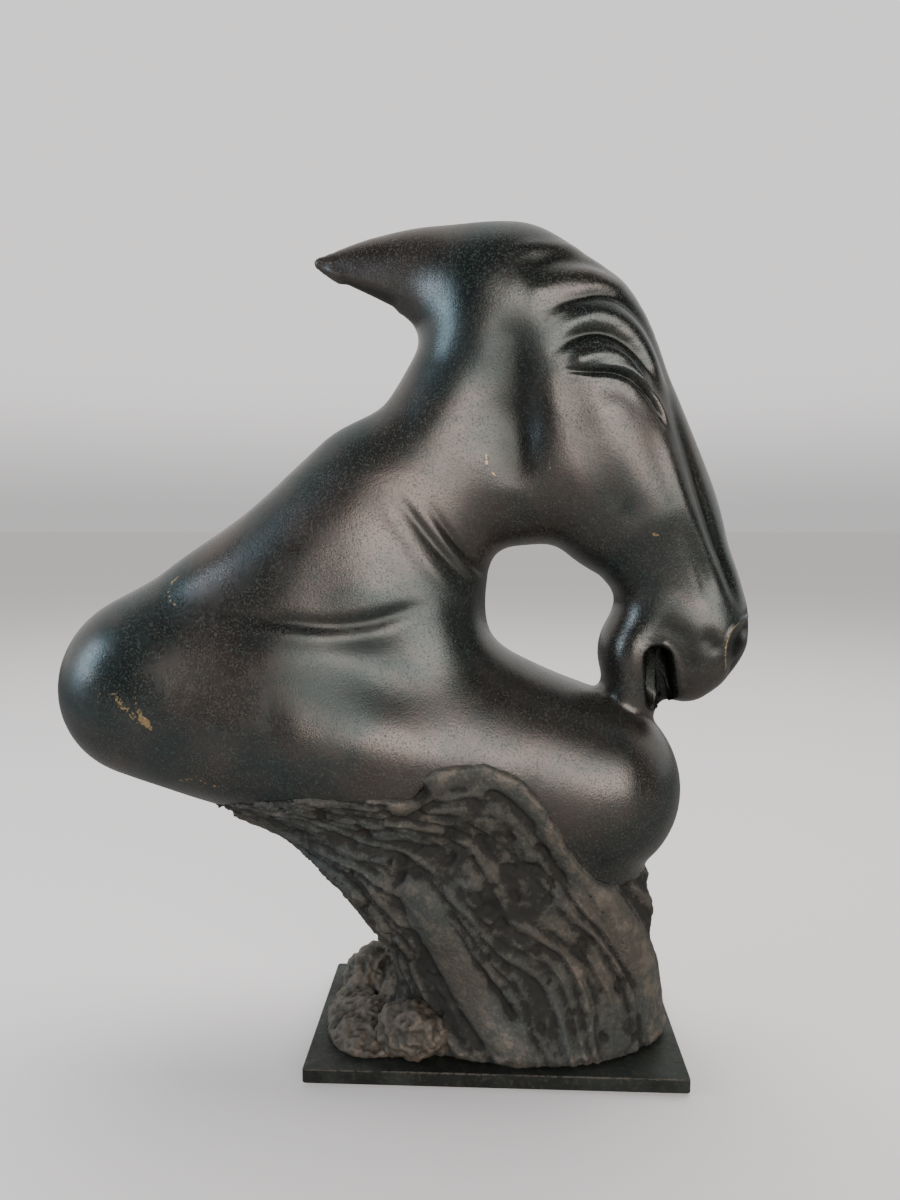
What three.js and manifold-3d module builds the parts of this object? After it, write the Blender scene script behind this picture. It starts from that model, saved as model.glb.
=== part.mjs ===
// A bronze statue of a bowed horse: hollow castings joined into one figure, on a steel base plate.
// Millimetres, +X towards the muzzle, +Y towards the far flank, +Z up.
// The origin is at the centre of the felt liner's underside, where the statue stands.
import * as THREE from "three";
import { mergeVertices } from "three/addons/utils/BufferGeometryUtils.js";
import Module from "manifold-3d";

const wasm = await Module();
wasm.setup();

// Driving dimensions
const linerThickness = 1.5;
const linerInset = 4;
const plateLength = 260;
const plateDepth = 148;
const plateThickness = 10;
const plateBevel = 0.8;
const wall = 5; // thickness of the cast bronze
const gap = 0.3; // between touching pieces
const sleeveGap = 1.5; // between a casting's rough inside and the sleeve fitted in it
const sleeveWall = 3.5;
const sleeveReach = 12.5; // how far a sleeve runs to each side of its joint
const pinRadius = 3;
const pinOffset = 8; // from the joint's plane
const pinSink = 1; // below the chased surface
const footScrewRadius = 4;
const lumpScrewRadius = 3;
const lugSize = 26;
const lugHeight = 14;
const screwBite = 10; // how far a screw runs into a lug or a lump
const chinDowelRadius = 4;

// Sizes of the grids that the skins are made on
const bodyStep = 16;
const fineStep = 12;
const earStep = 9;
const coreStep = 30;
const groundStep = 10;

const chinX = 98; // where the chin stands on the chest

const finishes = {
  bronze: { color: 0x2b2c2a, roughness: 0.36, metalness: 0.85 },
  roughBronze: { color: 0x34362f, roughness: 0.62, metalness: 0.7 },
  innerBronze: { color: 0x6a5230, roughness: 0.6, metalness: 0.8 },
  plate: { color: 0x262a28, roughness: 0.5, metalness: 0.75 },
  screw: { color: 0x8a8d8f, roughness: 0.4, metalness: 0.9 },
  felt: { color: 0x1d2a22, roughness: 1, metalness: 0 },
};

// ---- Masses ----
// A mass is a function of x, y and z: about the distance to its surface, negative inside.

// Fills in a run of stations along a smooth curve through them.
function smoothRun(stations, perSpan = 5) {
  const last = stations.length - 1;
  const station = (i) => stations[THREE.MathUtils.clamp(i, 0, last)];
  const run = [];
  for (let i = 0; i < last; i++)
    for (let step = 0; step < perSpan; step++) {
      const t = step / perSpan;
      run.push(
        station(i).map((value, k) => {
          const next = station(i + 1)[k];
          const leave = (next - station(i - 1)[k]) / 2;
          const arrive = (station(i + 2)[k] - value) / 2;
          const cubic = 2 * value - 2 * next + leave + arrive;
          const square = 3 * next - 3 * value - 2 * leave - arrive;
          return ((cubic * t + square) * t + leave) * t + value;
        }),
      );
    }
  run.push(stations[last]);
  return run;
}

// The spans between the stations of a run: each starting value, and its change along the span.
const spansOf = (run) =>
  run.slice(1).map((next, i) => ({ from: run[i], change: next.map((value, k) => value - run[i][k]) }));

// An ellipse swept in the plane of symmetry through stations of
// [x, z, half-width in the plane, half-depth in Y]; squareness above 2 fills its corners.
function limb(stations, squareness = 2) {
  const spans = spansOf(smoothRun(stations));
  return (x, y, z) => {
    let nearest = Infinity;
    for (const { from, change } of spans) {
      const [dx, dz] = change;
      const along = ((x - from[0]) * dx + (z - from[1]) * dz) / (dx * dx + dz * dz);
      const t = Math.min(Math.max(along, 0), 1);
      const width = from[2] + t * change[2];
      const depth = from[3] + t * change[3];
      const u = Math.hypot(x - from[0] - t * dx, z - from[1] - t * dz) / width;
      const v = Math.abs(y) / depth;
      const reach = Math.max((u ** squareness + v ** squareness) ** (1 / squareness), 1e-6);
      const slopeU = (u / reach) ** (squareness - 1) / width;
      const slopeV = (v / reach) ** (squareness - 1) / depth;
      nearest = Math.min(nearest, (reach - 1) / Math.max(Math.hypot(slopeU, slopeV), 1e-4));
    }
    return nearest;
  };
}

// A round strand through stations of [x, y, z, radius].
function strand(stations) {
  const spans = spansOf(smoothRun(stations, 3));
  return (x, y, z) => {
    let nearest = Infinity;
    for (const { from, change } of spans) {
      const [dx, dy, dz] = change;
      const along = (x - from[0]) * dx + (y - from[1]) * dy + (z - from[2]) * dz;
      const t = Math.min(Math.max(along / (dx * dx + dy * dy + dz * dz), 0), 1);
      const away = Math.hypot(x - from[0] - t * dx, y - from[1] - t * dy, z - from[2] - t * dz);
      nearest = Math.min(nearest, away - from[3] - t * change[3]);
    }
    return nearest;
  };
}

// An ellipsoid with its centre and its three radii.
function lump([cx, cy, cz], [rx, ry, rz]) {
  return (x, y, z) => {
    const reach = Math.hypot((x - cx) / rx, (y - cy) / ry, (z - cz) / rz);
    const slope = Math.hypot((x - cx) / rx ** 2, (y - cy) / ry ** 2, (z - cz) / rz ** 2);
    return (reach * (reach - 1)) / Math.max(slope, 1e-6);
  };
}

// Joins masses with a fillet of about this width.
function blend(width, first, ...others) {
  return others.reduce(
    (joined, other) => (x, y, z) => {
      const a = joined(x, y, z);
      const b = other(x, y, z);
      const near = Math.max(width - Math.abs(a - b), 0);
      return Math.min(a, b) - (near * near) / (4 * width);
    },
    first,
  );
}

// Cuts one mass out of another.
const carve = (mass, cutter) => (x, y, z) => Math.max(mass(x, y, z), -cutter(x, y, z));
const offset = (mass, distance) => (x, y, z) => mass(x, y, z) - distance;
const mirrored = (mass) => (x, y, z) => mass(x, -y, z);

const torso = limb(
  [
    [-253, 256, 64, 58],
    [-180, 238, 68, 68],
    [-90, 222, 71, 76],
    [0, 203, 70, 74],
    [66, 188, 66, 66],
  ],
  2.2,
);
const neck = limb([
  [-130, 285, 97, 60],
  [-95, 335, 83, 56],
  [-64, 383, 67, 50],
  [-36, 428, 54, 46],
  [-10, 478, 50, 45],
  [6, 516, 49, 45],
]);
const withers = limb([
  [-240, 266, 60, 52],
  [-195, 306, 56, 48],
  [-140, 341, 58, 50],
  [-85, 390, 58, 48],
]);
const throatRoot = limb([
  [-75, 325, 58, 52],
  [-40, 268, 46, 58],
  [10, 224, 51, 62],
  [60, 194, 56, 62],
]);
const face = limb(
  [
    [6, 522, 50, 46],
    [42, 500, 60, 54],
    [62, 449, 63, 56],
    [84, 406, 60, 52],
    [106, 378, 50, 45],
    [121, 350, 43, 39],
    [132, 325, 41, 37],
    [142, 302, 36, 38],
    [139, 287, 31, 34],
    [134, 275, 25, 28],
  ],
  2.3,
);
const jowl = limb([
  [20, 411, 50, 46],
  [58, 419, 52, 52],
]);
const chin = limb([
  [116, 318, 22, 28],
  [99, 291, 25, 33],
  [95, 268, 19, 30],
  [94, 250, 21, 27],
]);
// the wall between the two sides of the open mouth
const septum = limb([
  [110, 292, 9, 24],
  [108, 274, 9, 22],
  [101, 254, 10, 20],
]);
const ear = limb([
  [10, 543, 36, 40],
  [-40, 549, 33, 30],
  [-80, 554, 22, 18],
  [-108, 556, 12, 9],
  [-126, 559, 4, 4],
]);
const brace = limb([
  [-160, 184, 24, 36],
  [-108, 166, 40, 50],
  [-55, 130, 54, 58],
  [0, 95, 72, 58],
]);
const trunk = limb(
  [
    [24, 6, 97, 66],
    [22, 50, 95, 58],
    [18, 100, 94, 58],
    [4, 150, 98, 64],
  ],
  2.2,
);

// The strands that run down the near side of the column, from its knot to the foot.
const strap = strand([
  [-50, -66, 200, 7],
  [-15, -68, 210, 9],
  [30, -66, 184, 9],
  [52, -58, 152, 9],
  [78, -50, 116, 9],
  [100, -36, 76, 9],
]);
const broadFold = strand([
  [-44, -44, 118, 12],
  [-26, -52, 80, 13],
  [-4, -54, 42, 12],
  [22, -55, 18, 10],
]);
const braceRib = strand([
  [-150, -40, 176, 8],
  [-100, -50, 158, 9],
  [-50, -54, 134, 9],
  [-6, -54, 100, 8],
  [20, -54, 60, 7],
]);
const footRib = strand([
  [40, -54, 96, 8],
  [62, -52, 52, 9],
  [84, -40, 20, 9],
]);
const farStrap = mirrored(strap);
const farFold = mirrored(footRib);
const farRib = mirrored(braceRib);

const headGroup = blend(10, face, jowl);
const neckGroup = blend(16, neck, withers);
const barrel = blend(20, blend(24, torso, neckGroup), throatRoot);
const columnBody = blend(20, brace, trunk);
const columnGroup = blend(
  8,
  columnBody,
  strap,
  broadFold,
  braceRib,
  footRib,
  farStrap,
  farFold,
  farRib,
);

const torsoMass = blend(6, barrel, columnGroup);
const torsoCore = blend(24, barrel, columnBody); // the core leaves out the strands
const neckMass = blend(22, barrel, headGroup);
const headMass = blend(22, neckGroup, blend(10, headGroup, chin, septum));
const crownMass = blend(24, headMass, ear);

// ---- Solids ----

function solidFrom(geometry) {
  const bare = geometry.clone();
  bare.deleteAttribute("normal");
  bare.deleteAttribute("uv");
  const merged = mergeVertices(bare, 1e-4);
  return new wasm.Manifold(
    new wasm.Mesh({
      numProp: 3,
      vertProperties: merged.attributes.position.array,
      triVerts: new Uint32Array(merged.index.array),
    }),
  );
}

function geometryFrom(solid) {
  const mesh = solid.getMesh();
  const geometry = new THREE.BufferGeometry();
  geometry.setAttribute("position", new THREE.BufferAttribute(mesh.vertProperties, 3));
  geometry.setIndex(new THREE.BufferAttribute(mesh.triVerts, 1));
  return geometry;
}

// The eight corners of a grid cell, and the axes that its twelve edges run along.
const corners = [0, 1, 2, 3, 4, 5, 6, 7].map((n) => [n & 1, (n >> 1) & 1, (n >> 2) & 1]);
const cellEdges = corners.flatMap((corner, n) =>
  [0, 1, 2].filter((axis) => !corner[axis]).map((axis) => [n, n + (1 << axis), axis]),
);

// Skins a mass with a closed mesh inside the box from low to high: one vertex in each
// grid cell that the surface crosses, and one pair of triangles across each crossed edge.
// With a depth, the same facets are sunk that far below the surface.
function skin(mass, [low, high], step, depth = 0) {
  // every grid with one step shares its planes, so that skins side by side have like facets
  const first = low.map((value) => Math.floor(value / step));
  const count = high.map((value, k) => Math.ceil(value / step) - first[k] + 1);
  const index = (i, j, k) => i + count[0] * (j + count[1] * k);
  const place = (cell, axis) => (first[axis] + cell) * step;
  const values = new Float64Array(count[0] * count[1] * count[2]);
  const isRim = (cell) => cell.some((value, axis) => value === 0 || value === count[axis] - 1);
  for (let k = 0; k < count[2]; k++)
    for (let j = 0; j < count[1]; j++)
      for (let i = 0; i < count[0]; i++)
        values[index(i, j, k)] = isRim([i, j, k])
          ? step
          : mass(place(i, 0), place(j, 1), place(k, 2));
  const strides = [1, count[0], count[0] * count[1]];
  unpinch(values, strides);

  const points = [];
  const pointOf = new Map();
  for (let k = 0; k < count[2] - 1; k++)
    for (let j = 0; j < count[1] - 1; j++)
      for (let i = 0; i < count[0] - 1; i++) {
        const cell = [i, j, k];
        const at = corners.map((c) => values[index(i + c[0], j + c[1], k + c[2])]);
        const crossings = cellEdges.filter(([a, b]) => at[a] < 0 !== at[b] < 0);
        if (!crossings.length) continue;
        const centre = [0, 0, 0];
        for (const [a, b, axis] of crossings) {
          const part = at[a] / (at[a] - at[b]);
          for (let n = 0; n < 3; n++)
            centre[n] += (corners[a][n] + (n === axis ? part : 0)) / crossings.length;
        }
        pointOf.set(index(i, j, k), points.length / 3);
        const rough = centre.map((value, n) => place(cell[n] + value, n));
        points.push(...settle(offset(mass, -depth), settle(mass, rough, step), step));
      }

  const faces = [];
  const diagonals = new Set();
  const pairKey = (a, b) => Math.min(a, b) * points.length + Math.max(a, b);
  for (let k = 1; k < count[2] - 1; k++)
    for (let j = 1; j < count[1] - 1; j++)
      for (let i = 1; i < count[0] - 1; i++)
        for (let axis = 0; axis < 3; axis++) {
          const here = index(i, j, k);
          const inside = values[here] < 0;
          for (const side of [-1, 1]) {
            // an edge towards the rim below is met only from this end
            if (side < 0 && [i, j, k][axis] > 1) continue;
            const there = here + side * strides[axis];
            if (inside === values[there] < 0) continue;
            const [u, v] = [strides[(axis + 1) % 3], strides[(axis + 2) % 3]];
            const low = Math.min(here, there);
            const ring = [low, low - u, low - u - v, low - v].map((c) => pointOf.get(c));
            if (values[low] >= 0) ring.reverse();
            // no two quads are split along one diagonal
            if (diagonals.has(pairKey(ring[0], ring[2]))) ring.push(ring.shift());
            diagonals.add(pairKey(ring[0], ring[2]));
            faces.push(ring[0], ring[1], ring[2], ring[0], ring[2], ring[3]);
          }
        }

  const geometry = new THREE.BufferGeometry();
  geometry.setAttribute("position", new THREE.Float32BufferAttribute(points, 3));
  geometry.setIndex(faces);
  return solidFrom(geometry);
}

// A grid face with one diagonal inside and the other outside would pinch the skin there, so
// its weakest corner changes sides.
function unpinch(values, strides) {
  const sideways = [[0, 1], [1, 2], [0, 2]].map((pair) => pair.map((axis) => strides[axis]));
  const passes = 6;
  for (let pass = 0; pass < passes; pass++)
    for (let here = 0; here < values.length - strides[2] - strides[1]; here++)
      for (const [u, v] of sideways) {
        const ring = [here, here + u, here + u + v, here + v];
        const [a, b, c, d] = ring.map((corner) => values[corner] < 0);
        if (a !== c || b !== d || a === b) continue;
        const weakest = ring.reduce((best, corner) =>
          Math.abs(values[corner]) < Math.abs(values[best]) ? corner : best,
        );
        values[weakest] *= -1;
      }
}

// Moves a point onto the surface of a mass, by no more than half a step.
function settle(mass, point, step) {
  const probe = 0.5;
  let spot = new THREE.Vector3(...point);
  for (let turn = 0; turn < 3; turn++) {
    const value = mass(spot.x, spot.y, spot.z);
    const slope = new THREE.Vector3(
      mass(spot.x + probe, spot.y, spot.z) - mass(spot.x - probe, spot.y, spot.z),
      mass(spot.x, spot.y + probe, spot.z) - mass(spot.x, spot.y - probe, spot.z),
      mass(spot.x, spot.y, spot.z + probe) - mass(spot.x, spot.y, spot.z - probe),
    ).divideScalar(2 * probe);
    const move = slope.multiplyScalar(-value / Math.max(slope.lengthSq(), 0.1));
    spot = spot.add(move.clampLength(0, step / 4));
  }
  return spot.toArray();
}

// Everything on the side of a plane that its normal (nx, nz) points to; the plane stands
// square to the plane of symmetry, passes through (x, z), and can be moved along its normal.
function sideOf({ x, z, nx, nz }, move = 0) {
  const size = 1600;
  const block = new THREE.BoxGeometry(size, size, size);
  block.translate(size / 2 + move, 0, 0);
  block.rotateY(-Math.atan2(nz, nx));
  block.translate(x, 0, z);
  return solidFrom(block);
}

const vector = (x, y, z) => new THREE.Vector3(x, y, z);
const opposite = (plane) => ({ ...plane, nx: -plane.nx, nz: -plane.nz });

// The plane through two points of the side view, its normal to the left of the line between.
function planeThrough([x1, z1], [x2, z2]) {
  const length = Math.hypot(x2 - x1, z2 - z1);
  return {
    x: (x1 + x2) / 2,
    z: (z1 + z2) / 2,
    nx: -(z2 - z1) / length,
    nz: (x2 - x1) / length,
  };
}

function cylinder(radius, from, to, sides = 16, topRadius = radius) {
  const geometry = new THREE.CylinderGeometry(topRadius, radius, from.distanceTo(to), sides);
  const up = new THREE.Vector3(0, 1, 0);
  const direction = to.clone().sub(from).normalize();
  geometry.applyQuaternion(new THREE.Quaternion().setFromUnitVectors(up, direction));
  geometry.translate(...from.clone().add(to).multiplyScalar(0.5).toArray());
  return solidFrom(geometry);
}

// ---- Where the castings meet ----

const columnJoint = planeThrough([-212, 172], [130, 127]); // normal up
const neckJoint = planeThrough([-290, 316], [-5, 300]); // normal up
const headJoint = planeThrough([-90, 497], [14, 362]); // normal towards the face
const earJoint = planeThrough([-30, 585], [-62, 505]); // normal towards the forehead
const earFloor = { x: 0, z: 502, nx: 0, nz: 1 };

const regions = {
  column: [[-230, -100, -20], [170, 100, 240]],
  torso: [[-350, -100, 90], [160, 100, 360]],
  neck: [[-350, -100, 270], [90, 100, 560]],
  head: [[-110, -90, 225], [205, 90, 610]],
  ear: [[-140, -60, 490], [20, 60, 610]],
};

// The hollow that a casting's core leaves, with its facets sunk by a depth.
const hollow = (core, region, depth = 0) => skin(offset(core, -wall), region, coreStep, depth);

const sleeves = {
  column: { joint: columnJoint, mass: torsoMass, core: torsoCore, region: regions.torso, centre: [0, 150] },
  neck: { joint: neckJoint, mass: neckMass, core: neckMass, region: regions.neck, centre: [-140, 308] },
  head: { joint: headJoint, mass: headMass, core: headMass, region: regions.neck, centre: [-36, 428] },
};

// The ring inside a joint that locates its two castings.
function sleeveRing({ joint, core, region }) {
  return hollow(core, region, sleeveGap)
    .subtract(hollow(core, region, sleeveGap + sleeveWall))
    .intersect(sideOf(joint, -sleeveReach))
    .intersect(sideOf(opposite(joint), -sleeveReach));
}

const pinAngles = [40, 140, 220, 320];

// The pins through a joint: from inside the sleeve to just below the casting's surface.
function pinsOf({ joint, mass, centre }) {
  return pinAngles.map((degrees, n) => {
    const angle = THREE.MathUtils.degToRad(degrees);
    const lift = n % 2 ? pinOffset : -pinOffset;
    const start = new THREE.Vector3(centre[0] + joint.nx * lift, 0, centre[1] + joint.nz * lift);
    const direction = new THREE.Vector3(
      joint.nz * Math.cos(angle),
      Math.sin(angle),
      -joint.nx * Math.cos(angle),
    );
    const at = (distance) => start.clone().addScaledVector(direction, distance);
    let surface = 0;
    while (mass(...at(surface).toArray()) < 0) surface += 0.25;
    const inner = surface - wall - sleeveGap - sleeveWall - 4;
    return {
      pin: cylinder(pinRadius, at(inner), at(surface - pinSink), 10),
      hole: cylinder(pinRadius + gap, at(inner - 4), at(surface + 12), 10),
    };
  });
}

const pins = Object.fromEntries(
  Object.entries(sleeves).map(([name, sleeve]) => [name, pinsOf(sleeve)]),
);
const withoutPins = (solid, ...names) =>
  names.flatMap((name) => pins[name]).reduce((cut, { hole }) => cut.subtract(hole), solid);

// ---- Pieces ----

const statue = new THREE.Group();
const horse = new THREE.Group(); // all above the liner, measured from the plate's underside
horse.position.z = linerThickness;
statue.add(horse);

function add(name, solid, finish, group = horse) {
  const material = new THREE.MeshStandardMaterial(finishes[finish]);
  const mesh = new THREE.Mesh(geometryFrom(solid), material);
  mesh.name = name;
  group.add(mesh);
}

// Castings

const footPlane = { x: 0, z: plateThickness + gap, nx: 0, nz: 1 };
const column = skin(torsoMass, regions.column, fineStep)
  .subtract(hollow(torsoCore, regions.column))
  .intersect(sideOf(footPlane))
  .intersect(sideOf(opposite(columnJoint), gap / 2));
add("column_casting", withoutPins(column, "column"), "roughBronze");

const chinDowel = cylinder(chinDowelRadius, vector(chinX, 0, 232), vector(chinX, 0, 276));
const chinHole = cylinder(chinDowelRadius + gap, vector(chinX, 0, 226), vector(chinX, 0, 278));
add("chin_dowel", chinDowel, "innerBronze");

const torsoShell = skin(torsoMass, regions.torso, bodyStep)
  .subtract(hollow(torsoCore, regions.torso))
  .intersect(sideOf(columnJoint, gap / 2))
  .intersect(sideOf(opposite(neckJoint), gap / 2))
  .subtract(chinHole);
add("torso_casting", withoutPins(torsoShell, "column", "neck"), "bronze");

const neckShell = skin(neckMass, regions.neck, bodyStep)
  .subtract(hollow(neckMass, regions.neck))
  .intersect(sideOf(neckJoint, gap / 2))
  .intersect(sideOf(opposite(headJoint), gap / 2));
add("neck_casting", withoutPins(neckShell, "neck", "head"), "bronze");

const earDowel = cylinder(chinDowelRadius, vector(-60, 0, 552), vector(-36, 0, 549));
const earHole = cylinder(chinDowelRadius + gap, vector(-62, 0, 552.25), vector(-34, 0, 548.75));
add("ear_dowel", earDowel, "innerBronze");

// The head joint's plane runs on through the chin, and the whole chin belongs to the head.
const chinRoom = solidFrom(new THREE.BoxGeometry(150, 200, 112).translate(137, 0, 279));
const headSide = sideOf(headJoint, gap / 2).add(chinRoom);

const chestClearance = skin(torsoMass, regions.torso, bodyStep, -2 * gap);
const headShell = skin(crownMass, regions.head, fineStep)
  .subtract(hollow(headMass, regions.head))
  .intersect(headSide)
  .subtract(sideOf(opposite(earJoint)).intersect(sideOf(earFloor)))
  .subtract(chestClearance)
  .subtract(chinHole)
  .subtract(earHole);
add("head_casting", withoutPins(headShell, "head"), "bronze");

const earSolid = skin(crownMass, regions.ear, earStep)
  .intersect(sideOf(opposite(earJoint), gap))
  .intersect(sideOf(earFloor, gap))
  .subtract(earHole);
add("ear_casting", earSolid, "bronze");

// Joint rings and their pins

for (const [name, sleeve] of Object.entries(sleeves)) {
  add(`${name}_sleeve`, withoutPins(sleeveRing(sleeve), name), "innerBronze");
  pins[name].forEach(({ pin }, n) => add(`${name}_pin_${n + 1}`, pin, "innerBronze"));
}

// Ground at the foot

const groundRegion = [[-140, -80, 0], [0, 80, 60]];
const columnClearance = skin(torsoMass, regions.column, fineStep, -2 * gap);
const moundMass = carve(
  blend(10, lump([-86, -8, 6], [39, 56, 18]), lump([-84, 36, 8], [34, 30, 37])),
  lump([-90, 8, 36], [20, 24, 17]),
);
const rockMass = lump([-56, -47, 24], [25, 18, 20]);
const rock = skin(rockMass, groundRegion, groundStep)
  .intersect(sideOf(footPlane))
  .subtract(columnClearance);
const mound = skin(moundMass, groundRegion, groundStep)
  .intersect(sideOf(footPlane))
  .subtract(columnClearance)
  .subtract(skin(rockMass, groundRegion, groundStep, -2 * gap));

// Plate, liner and the screws between the plate and what stands on it

function slab(length, depth, height, radius, bevel = 0) {
  const [x, y, r] = [length / 2 - bevel, depth / 2 - bevel, radius];
  const outline = new THREE.Shape()
    .moveTo(-x + r, -y)
    .lineTo(x - r, -y)
    .absarc(x - r, -y + r, r, -Math.PI / 2, 0)
    .lineTo(x, y - r)
    .absarc(x - r, y - r, r, 0, Math.PI / 2)
    .lineTo(-x + r, y)
    .absarc(-x + r, y - r, r, Math.PI / 2, Math.PI)
    .lineTo(-x, -y + r)
    .absarc(-x + r, -y + r, r, Math.PI, Math.PI * 1.5);
  const geometry = new THREE.ExtrudeGeometry(outline, {
    depth: height - 2 * bevel,
    curveSegments: 3,
    bevelEnabled: bevel > 0,
    bevelThickness: bevel,
    bevelSize: bevel,
    bevelSegments: 1,
  });
  geometry.translate(0, 0, bevel);
  return solidFrom(geometry);
}

// A countersunk screw standing on its head at the plate's underside, grown by a clearance.
function screw(radius, [x, y], clearance = 0) {
  const head = 2 * radius;
  const rim = 0.8;
  const low = clearance ? -1 : gap;
  const top = plateThickness + screwBite + (clearance ? 2 : 0);
  const profile = [
    [0, low],
    [head + clearance, low],
    [head + clearance, gap + rim],
    [radius + clearance, gap + rim + head - radius],
    [radius + clearance, top],
    [0, top],
  ];
  const points = profile.map(([r, z]) => new THREE.Vector2(r, z));
  const geometry = new THREE.LatheGeometry(points, 16).rotateX(Math.PI / 2);
  return solidFrom(geometry.translate(x, y, 0));
}

function socketed(radius, [x, y]) {
  const socket = cylinder(0.8 * radius, vector(x, y, gap - 1), vector(x, y, gap + 0.8 * radius), 6);
  return screw(radius, [x, y]).subtract(socket);
}

const footScrews = [
  [-34, -34],
  [82, -34],
  [-34, 34],
  [82, 34],
];
const lugRoom = hollow(torsoCore, regions.column, 2 * gap);
footScrews.forEach((spot, n) => {
  const block = new THREE.BoxGeometry(lugSize, lugSize, lugHeight);
  block.translate(...spot, plateThickness + gap + lugHeight / 2);
  const lug = solidFrom(block).intersect(lugRoom).subtract(screw(footScrewRadius, spot, gap));
  add(`foot_lug_${n + 1}`, lug, "innerBronze");
  add(`base_screw_${n + 1}`, socketed(footScrewRadius, spot), "screw");
});

const moundScrews = [
  [-98, -20],
  [-92, 34],
];
const rockScrews = [[-58, -48]];
const drilled = (solid, radius, spots) =>
  spots.reduce((cut, spot) => cut.subtract(screw(radius, spot, gap)), solid);
add("mound_casting", drilled(mound, lumpScrewRadius, moundScrews), "roughBronze");
add("rock_casting", drilled(rock, lumpScrewRadius, rockScrews), "roughBronze");
moundScrews.forEach((spot, n) => {
  add(`mound_screw_${n + 1}`, socketed(lumpScrewRadius, spot), "screw");
});
rockScrews.forEach((spot) => add("rock_screw", socketed(lumpScrewRadius, spot), "screw"));

const plate = slab(plateLength, plateDepth, plateThickness, 1.5, plateBevel);
const lumpDrilled = drilled(plate, lumpScrewRadius, [...moundScrews, ...rockScrews]);
add("base_plate", drilled(lumpDrilled, footScrewRadius, footScrews), "plate");

const linerLength = plateLength - 2 * linerInset;
const linerDepth = plateDepth - 2 * linerInset;
const liner = slab(linerLength, linerDepth, linerThickness - gap, 4);
add("felt_liner", liner, "felt", statue);

export default statue;
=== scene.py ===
import math
import bmesh
import bpy
import numpy as np
from mathutils import Matrix, Vector, noise


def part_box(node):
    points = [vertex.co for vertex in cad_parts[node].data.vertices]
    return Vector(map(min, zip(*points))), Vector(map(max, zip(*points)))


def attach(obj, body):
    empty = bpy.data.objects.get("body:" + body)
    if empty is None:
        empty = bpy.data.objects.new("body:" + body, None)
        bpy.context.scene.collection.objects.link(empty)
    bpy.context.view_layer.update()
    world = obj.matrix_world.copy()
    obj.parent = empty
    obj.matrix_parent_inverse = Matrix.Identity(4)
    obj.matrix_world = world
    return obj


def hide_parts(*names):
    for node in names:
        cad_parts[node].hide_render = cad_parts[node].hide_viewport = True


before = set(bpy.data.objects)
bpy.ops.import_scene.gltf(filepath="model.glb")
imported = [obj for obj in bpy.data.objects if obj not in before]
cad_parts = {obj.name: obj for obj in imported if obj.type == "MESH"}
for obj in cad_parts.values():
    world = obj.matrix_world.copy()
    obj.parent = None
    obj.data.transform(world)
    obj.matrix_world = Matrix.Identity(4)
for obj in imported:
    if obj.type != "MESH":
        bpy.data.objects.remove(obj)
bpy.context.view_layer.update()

mm = 0.001
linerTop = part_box("base_plate")[0].z / mm  # heights on the statue are measured from here
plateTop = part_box("base_plate")[1].z / mm - linerTop


# ---- Camera and studio ----

cameraSettings = {
    "place": (-3.7, -649.4, 378.6),
    "turnRight": -2.6,
    "lookDown": 5.0,
    "lens": 27.15,
}


def makeCamera():
    data = bpy.data.cameras.new("camera")
    data.lens = cameraSettings["lens"]
    data.sensor_width = 36
    camera = bpy.data.objects.new("camera", data)
    x, y, z = cameraSettings["place"]
    camera.location = (x * mm, y * mm, (z + linerTop) * mm)
    tilt = math.radians(90 - cameraSettings["lookDown"])
    camera.rotation_euler = (tilt, 0, -math.radians(cameraSettings["turnRight"]))
    bpy.context.collection.objects.link(camera)
    bpy.context.scene.camera = camera


lamps = {
    "brightWall": {"place": (0.55, -2.0, 0.75), "size": (2.5, 1.35), "power": 44,
                   "colour": (1.0, 0.90, 0.86), "mirrored": True},
    "windowLeft": {"place": (-1.7, -0.45, 0.75), "size": (0.55, 0.9), "power": 11,
                   "colour": (0.66, 0.82, 1.0), "mirrored": True},
    "overhead": {"place": (0.0, 0.7, 2.4), "size": (2.4, 1.6), "power": 60,
                 "colour": (1.0, 0.98, 0.97), "mirrored": False},
}


def makeLamps():
    target = Vector((-0.05, 0, 0.3))
    for name, lamp in lamps.items():
        data = bpy.data.lights.new(name, "AREA")
        data.shape = "RECTANGLE"
        data.size, data.size_y = lamp["size"]
        data.energy = lamp["power"]
        data.color = lamp["colour"]
        light = bpy.data.objects.new(name, data)
        light.location = lamp["place"]
        aim = target - Vector(lamp["place"])
        light.rotation_euler = aim.to_track_quat("-Z", "Y").to_euler()
        light.visible_camera = False
        light.visible_glossy = lamp["mirrored"]
        bpy.context.collection.objects.link(light)


surroundings = {
    "seenLow": (0.62, 0.605, 0.60),  # what the camera sees past the floor, from the floor up
    "seenHigh": (1.15, 1.11, 1.10),
    "floor": (0.72, 0.70, 0.69),
    "floorGlow": (0.24, 0.235, 0.23),  # keeps the far floor as pale as the near
    "noGlow": (0, 0, 0),
    "floorReflected": (0.20, 0.195, 0.19),  # the dark bronze mirrors only the floor close by
    "clothSide": (0.85, 0.83, 0.82),
    "roomSide": (0.013, 0.014, 0.015),
    "roomEnds": 0.42,  # from the front, 0, to the back, 1
    "clothStarts": 0.62,
    "highFrom": 0.16,  # how far up the sky is as pale as it gets
}


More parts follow.
